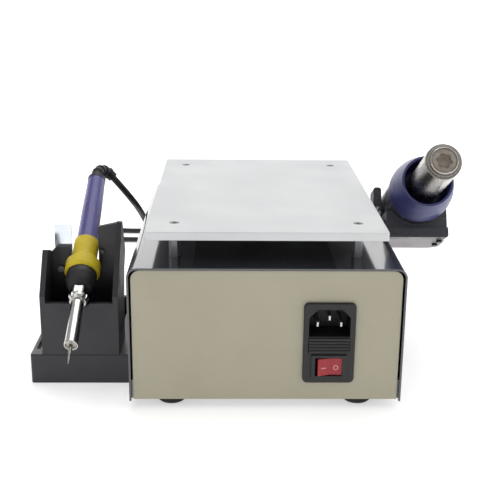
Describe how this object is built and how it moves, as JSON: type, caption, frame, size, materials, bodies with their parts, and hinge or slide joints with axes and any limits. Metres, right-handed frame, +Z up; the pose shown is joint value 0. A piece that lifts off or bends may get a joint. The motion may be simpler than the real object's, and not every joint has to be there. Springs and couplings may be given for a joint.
{
  "type": "hot air rework station",
  "caption": "Bench rework station: heated plate on a mains housing, hot air gun in a side cradle, soldering iron with its lead in a stand beside it.",
  "frame": {"origin": "middle of the footprint of station, stand and cradle, on the bench top", "axes": "+X across the rear panel towards the gun, +Y from the rear panel to the front panel, +Z up"},
  "size_m": [0.2924, 0.3993, 0.1598],
  "materials": {
    "beige_paint": "satin powder coat",
    "gloss_black_paint": "gloss black enamel",
    "zinc_steel": "zinc plated",
    "black_screw": "black oxide",
    "foot_rubber": "matt",
    "plate_aluminium": "bead blasted and anodised",
    "bright_screw": "bright nickel",
    "silicone_heater": "glass-filled silicone mat",
    "inlet_plastic": "black nylon",
    "pin_metal": "nickel plated brass",
    "glass_tube": "clear",
    "rocker_red": "gloss",
    "control_black": "fine texture",
    "smoked_window": "smoked acrylic",
    "connector_metal": "nickel plated",
    "transformer_steel": "varnished laminations",
    "board_green": "solder mask",
    "tube_steel": "fine brushed stainless",
    "ceramic": "fired ceramic",
    "guard_blue": "fine texture",
    "handle_black": "fine texture",
    "bracket_steel": "plated steel",
    "stand_plastic": "satin phenolic",
    "rest_steel": "polished stainless",
    "sponge_yellow": "cellulose sponge",
    "tip_steel": "worn plating",
    "sleeve_steel": "polished stainless",
    "collar_black": "satin",
    "grip_yellow": "satin silicone",
    "iron_purple": "satin",
    "cord_black": "matt"
  },
  "bodies": {
    "station": {"base_tray": "zinc_steel", "rear_panel": "beige_paint", "front_panel": "beige_paint", "wrap_cover": "gloss_black_paint", "cover_screws": "black_screw", "rubber_feet": "foot_rubber", "foot_screws": "bright_screw", "transformer": "transformer_steel", "main_board": "board_green", "hot_plate": "plate_aluminium", "plate_screws": "bright_screw", "plate_standoffs": "zinc_steel", "plate_heater": "silicone_heater", "cable_grommet": "foot_rubber", "inlet_housing": "inlet_plastic", "inlet_pins": "pin_metal", "mains_bezel": "inlet_plastic", "potentiometers": "zinc_steel", "display_window": "smoked_window", "rocker_bezels": "inlet_plastic", "iron_socket": "connector_metal", "iron_plug": "connector_metal", "plug_boot": "foot_rubber", "gun_gland": "control_black", "cradle_bracket": "bracket_steel", "cradle_body": "handle_black", "cradle_screws": "black_screw", "bracket_screws": "black_screw", "stand_base": "stand_plastic", "stand_tower": "stand_plastic", "rest_plate": "rest_steel", "rest_screws": "bright_screw", "sponge": "sponge_yellow", "iron_cord": "cord_black"},
    "gun": {"gun_barrel": "tube_steel", "gun_end_ring": "tube_steel", "gun_core": "ceramic", "gun_guard": "guard_blue", "handle_left": "handle_black", "handle_right": "handle_black", "gun_end_cap": "handle_black"},
    "gun_fan": {"gun_fan": "control_black"},
    "iron": {"iron_tip": "tip_steel", "iron_barrel": "sleeve_steel", "iron_nut": "sleeve_steel", "iron_collar": "collar_black", "iron_grip": "grip_yellow", "iron_handle": "iron_purple", "iron_relief": "collar_black"},
    "fuse_drawer": {"fuse_drawer": "inlet_plastic", "fuse": "glass_tube"},
    "mains_rocker": {"mains_rocker": "rocker_red"},
    "knob_plate_heat": {"knob_plate_heat": "control_black"},
    "knob_air_heat": {"knob_air_heat": "control_black"},
    "knob_air_flow": {"knob_air_flow": "control_black"},
    "knob_iron_heat": {"knob_iron_heat": "control_black"},
    "rocker_plate": {"rocker_plate": "rocker_red"},
    "rocker_air": {"rocker_air": "rocker_red"},
    "rocker_iron": {"rocker_iron": "rocker_red"}
  },
  "joints": [
    {"name": "mains_rocker_press", "type": "hinge", "parent": "station", "child": "mains_rocker", "pos_m": [0.04975, -0.10605, 0.029], "axis": [0, 0, -1], "range_deg": [0, 16]},
    {"name": "fuse_drawer_slide", "type": "slide", "parent": "station", "child": "fuse_drawer", "axis": [0, -1, 0], "range_m": [0, 0.022]},
    {"name": "rocker_plate_press", "type": "hinge", "parent": "station", "child": "rocker_plate", "pos_m": [-0.00175, 0.10095, 0.019], "axis": [0, 0, -1], "range_deg": [0, 16]},
    {"name": "rocker_air_press", "type": "hinge", "parent": "station", "child": "rocker_air", "pos_m": [0.02425, 0.10095, 0.019], "axis": [0, 0, -1], "range_deg": [0, 16]},
    {"name": "rocker_iron_press", "type": "hinge", "parent": "station", "child": "rocker_iron", "pos_m": [0.05025, 0.10095, 0.019], "axis": [0, 0, -1], "range_deg": [0, 16]},
    {"name": "knob_plate_heat_turn", "type": "hinge", "parent": "station", "child": "knob_plate_heat", "pos_m": [-0.04175, 0.10395, 0.042], "axis": [0, 1, 0], "range_deg": [0, 290]},
    {"name": "knob_air_heat_turn", "type": "hinge", "parent": "station", "child": "knob_air_heat", "pos_m": [-0.00575, 0.10395, 0.042], "axis": [0, 1, 0], "range_deg": [0, 290]},
    {"name": "knob_air_flow_turn", "type": "hinge", "parent": "station", "child": "knob_air_flow", "pos_m": [0.03025, 0.10395, 0.042], "axis": [0, 1, 0], "range_deg": [0, 290]},
    {"name": "knob_iron_heat_turn", "type": "hinge", "parent": "station", "child": "knob_iron_heat", "pos_m": [0.06625, 0.10395, 0.042], "axis": [0, 1, 0], "range_deg": [0, 290]},
    {"name": "gun_lift", "type": "slide", "parent": "station", "child": "gun", "axis": [0, 0.4695, 0.8829], "range_m": [0, 0.08]},
    {"name": "gun_fan_spin", "type": "hinge", "parent": "gun", "child": "gun_fan", "pos_m": [0.11625, 0.05344, 0.07572], "axis": [0, -0.8829, 0.4695], "continuous": true},
    {"name": "iron_lift", "type": "slide", "parent": "station", "child": "iron", "axis": [0, 0, 1], "range_m": [0, 0.06], "deforming": ["iron_cord"]}
  ]
}
